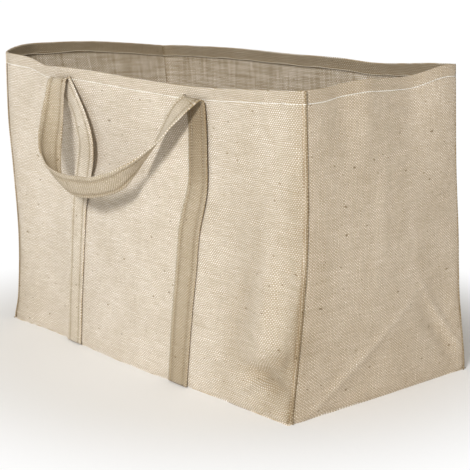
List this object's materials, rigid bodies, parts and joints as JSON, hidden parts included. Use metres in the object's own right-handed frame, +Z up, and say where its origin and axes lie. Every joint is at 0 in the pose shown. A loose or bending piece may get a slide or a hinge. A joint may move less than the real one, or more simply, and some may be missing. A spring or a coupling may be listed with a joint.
{
  "type": "jute log bag",
  "caption": "Wide open-topped bag of woven jute for carrying firewood, standing open, with a folded carrying band sewn up each long side and hanging out as a loop.",
  "frame": {"origin": "middle of the base's underside", "axes": "+X along the long side, towards the right end seen from the front; -Y out of the front panel; +Z up"},
  "size_m": [0.6952, 0.4947, 0.4358],
  "materials": {
    "jute": "plain woven, matt",
    "jute_band": "folded and topstitched, matt"
  },
  "bodies": {
    "root": {"front_panel": "jute", "right_end_panel": "jute", "back_panel": "jute", "left_end_panel": "jute", "bottom_panel": "jute", "front_band": "jute_band", "back_band": "jute_band"}
  },
  "joints": []
}
